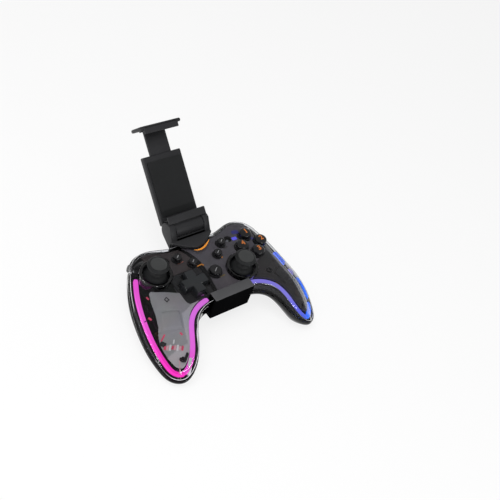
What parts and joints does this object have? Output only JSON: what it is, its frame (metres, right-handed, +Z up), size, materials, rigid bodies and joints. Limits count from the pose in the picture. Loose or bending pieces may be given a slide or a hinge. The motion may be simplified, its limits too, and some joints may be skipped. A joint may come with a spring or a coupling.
{
  "type": "wireless gamepad with phone clip",
  "caption": "Wireless gamepad in a clear casing with lit grips, thumbsticks, direction pad and triggers, held in a strap clip whose hinged, sliding cradle carries a phone.",
  "frame": {"origin": "on the table, under the middle of the whole object's length and width", "axes": "+X to the player's right, +Y away from the player and along the leaning cradle, +Z up"},
  "size_m": [0.156, 0.1814, 0.1041],
  "materials": {
    "clear_casing": "clear polished plastic with a faint grey tint",
    "smoked_casing": "smoked glossy plastic",
    "grey_panel": "satin light grey",
    "dark_panel": "satin dark grey",
    "band": "glossy black",
    "pink_guide": "milky light guide glowing pink",
    "violet_guide": "milky light guide glowing lavender to blue",
    "clear_ring": "clear polished plastic",
    "black_gloss": "glossy black",
    "black_satin": "satin black",
    "black_rubber": "matt black rubber",
    "grey_rubber": "soft grey rubber",
    "grey_plastic": "satin mid grey",
    "circuit_board": "dark green lacquer",
    "cell_wrap": "silver foil wrap",
    "steel": "bright steel",
    "brass": "turned brass",
    "white_plastic": "white satin"
  },
  "bodies": {
    "pad": {"front_shell": "clear_casing", "rear_shell": "smoked_casing", "shell_screws": "steel", "face_panel_left": "grey_panel", "face_panel_right": "dark_panel", "dpad_bezel": "dark_panel", "centre_band": "band", "main_board": "circuit_board", "battery": "cell_wrap", "usb_c_socket": "steel", "face_membrane": "grey_rubber", "centre_membrane": "grey_rubber", "dpad_membrane": "grey_rubber", "dpad_support": "black_satin", "clip_base": "black_satin", "clip_pads": "black_rubber", "hinge_pin": "steel", "led_strips": "white_plastic", "rumble_motors": "steel", "motor_cradles": "black_satin", "trigger_pins": "steel", "stick_housings": "grey_plastic", "grip_liner_left": "dark_panel", "light_guide_left": "pink_guide", "trigger_bracket_left": "black_satin", "stick_ring_left": "clear_ring", "grip_liner_right": "dark_panel", "light_guide_right": "violet_guide", "trigger_bracket_right": "black_satin", "stick_ring_right": "clear_ring"},
    "cradle": {"phone_cradle": "black_satin", "cradle_pad": "black_rubber"},
    "jaw": {"upper_jaw": "black_satin", "upper_jaw_pad": "black_rubber"},
    "yoke_left": {"stick_yoke_left": "white_plastic"},
    "block_left": {"pivot_block_left": "black_satin"},
    "stick_left": {"stick_shaft_left": "steel", "thumbstick_left": "black_rubber"},
    "yoke_right": {"stick_yoke_right": "white_plastic"},
    "block_right": {"pivot_block_right": "black_satin"},
    "stick_right": {"stick_shaft_right": "steel", "thumbstick_right": "black_rubber"},
    "rocker": {"dpad_rocker": "white_plastic"},
    "dpad": {"dpad": "black_gloss"},
    "face_top": {"face_button_top": "black_gloss"},
    "face_right": {"face_button_right": "black_gloss"},
    "face_bottom": {"face_button_bottom": "black_gloss"},
    "face_left": {"face_button_left": "black_gloss"},
    "select": {"select_button": "black_gloss"},
    "turbo": {"turbo_button": "black_gloss"},
    "light": {"light_button": "black_gloss"},
    "start": {"start_button": "black_gloss"},
    "home": {"home_button": "black_gloss"},
    "bumper_left": {"bumper_left": "black_gloss"},
    "trigger_left": {"trigger_left": "black_gloss"},
    "weight_left": {"rumble_weight_left": "brass"},
    "bumper_right": {"bumper_right": "black_gloss"},
    "trigger_right": {"trigger_right": "black_gloss"},
    "weight_right": {"rumble_weight_right": "brass"}
  },
  "joints": [
    {"name": "cradle_tilt", "type": "hinge", "parent": "pad", "child": "cradle", "pos_m": [0, 0.01886, 0.043], "axis": [1, 0, 0], "range_deg": [-20, 60]},
    {"name": "jaw_slide", "type": "slide", "parent": "cradle", "child": "jaw", "axis": [0, 0.7615, 0.6481], "range_m": [-0.0177, 0.0133]},
    {"name": "stick_lean_left", "type": "hinge", "parent": "pad", "child": "yoke_left", "pos_m": [-0.0463, -0.01115, 0.029], "axis": [1, 0, 0], "range_deg": [-18, 18], "stiffness_Nm_per_rad": 0.06},
    {"name": "stick_roll_left", "type": "hinge", "parent": "yoke_left", "child": "block_left", "pos_m": [-0.0463, -0.01115, 0.029], "axis": [0, 1, 0], "range_deg": [-18, 18], "stiffness_Nm_per_rad": 0.06},
    {"name": "stick_click_left", "type": "slide", "parent": "block_left", "child": "stick_left", "axis": [0, 0, -1], "range_m": [0, 0.0006], "stiffness_N_per_m": 1500, "springref_m": -0.0008},
    {"name": "stick_lean_right", "type": "hinge", "parent": "pad", "child": "yoke_right", "pos_m": [0.0233, -0.03254, 0.029], "axis": [1, 0, 0], "range_deg": [-18, 18], "stiffness_Nm_per_rad": 0.06},
    {"name": "stick_roll_right", "type": "hinge", "parent": "yoke_right", "child": "block_right", "pos_m": [0.0233, -0.03254, 0.029], "axis": [0, 1, 0], "range_deg": [-18, 18], "stiffness_Nm_per_rad": 0.06},
    {"name": "stick_click_right", "type": "slide", "parent": "block_right", "child": "stick_right", "axis": [0, 0, -1], "range_m": [0, 0.0006], "stiffness_N_per_m": 1500, "springref_m": -0.0008},
    {"name": "dpad_up_down", "type": "hinge", "parent": "pad", "child": "rocker", "pos_m": [-0.0233, -0.03104, 0.0298], "axis": [1, 0, 0], "range_deg": [-6, 6], "stiffness_Nm_per_rad": 0.15},
    {"name": "dpad_left_right", "type": "hinge", "parent": "rocker", "child": "dpad", "pos_m": [-0.0233, -0.03104, 0.0298], "axis": [0, 1, 0], "range_deg": [-6, 6], "stiffness_Nm_per_rad": 0.15},
    {"name": "press_top", "type": "slide", "parent": "pad", "child": "face_top", "axis": [0, 0, -1], "range_m": [0, 0.0015], "stiffness_N_per_m": 400, "springref_m": -0.001},
    {"name": "press_right", "type": "slide", "parent": "pad", "child": "face_right", "axis": [0, 0, -1], "range_m": [0, 0.0015], "stiffness_N_per_m": 400, "springref_m": -0.001},
    {"name": "press_bottom", "type": "slide", "parent": "pad", "child": "face_bottom", "axis": [0, 0, -1], "range_m": [0, 0.0015], "stiffness_N_per_m": 400, "springref_m": -0.001},
    {"name": "press_left", "type": "slide", "parent": "pad", "child": "face_left", "axis": [0, 0, -1], "range_m": [0, 0.0015], "stiffness_N_per_m": 400, "springref_m": -0.001},
    {"name": "press_select", "type": "slide", "parent": "pad", "child": "select", "axis": [0, 0, -1], "range_m": [0, 0.0009], "stiffness_N_per_m": 500, "springref_m": -0.001},
    {"name": "press_turbo", "type": "slide", "parent": "pad", "child": "turbo", "axis": [0, 0, -1], "range_m": [0, 0.0009], "stiffness_N_per_m": 500, "springref_m": -0.001},
    {"name": "press_light", "type": "slide", "parent": "pad", "child": "light", "axis": [0, 0, -1], "range_m": [0, 0.0009], "stiffness_N_per_m": 500, "springref_m": -0.001},
    {"name": "press_start", "type": "slide", "parent": "pad", "child": "start", "axis": [0, 0, -1], "range_m": [0, 0.0009], "stiffness_N_per_m": 500, "springref_m": -0.001},
    {"name": "press_home", "type": "slide", "parent": "pad", "child": "home", "axis": [0, 0, -1], "range_m": [0, 0.0009], "stiffness_N_per_m": 500, "springref_m": -0.001},
    {"name": "bumper_press_left", "type": "hinge", "parent": "pad", "child": "bumper_left", "pos_m": [-0.0276, 0.00826, 0.0246], "axis": [0, 0, 1], "range_deg": [0, 2], "stiffness_Nm_per_rad": 1, "springref_deg": -1.72},
    {"name": "trigger_pull_left", "type": "hinge", "parent": "pad", "child": "trigger_left", "pos_m": [-0.0286, 0.00906, 0.0202], "axis": [1, 0, 0], "range_deg": [-18, 0], "stiffness_Nm_per_rad": 0.05, "springref_deg": 14.32},
    {"name": "weight_spin_left", "type": "hinge", "parent": "pad", "child": "weight_left", "pos_m": [-0.059, -0.05314, 0.0155], "axis": [0, 1, 0], "continuous": true},
    {"name": "bumper_press_right", "type": "hinge", "parent": "pad", "child": "bumper_right", "pos_m": [0.0276, 0.00826, 0.0246], "axis": [0, 0, 1], "range_deg": [-2, 0], "stiffness_Nm_per_rad": 1, "springref_deg": 1.72},
    {"name": "trigger_pull_right", "type": "hinge", "parent": "pad", "child": "trigger_right", "pos_m": [0.0286, 0.00906, 0.0202], "axis": [1, 0, 0], "range_deg": [-18, 0], "stiffness_Nm_per_rad": 0.05, "springref_deg": 14.32},
    {"name": "weight_spin_right", "type": "hinge", "parent": "pad", "child": "weight_right", "pos_m": [0.059, -0.05314, 0.0155], "axis": [0, 1, 0], "continuous": true}
  ]
}
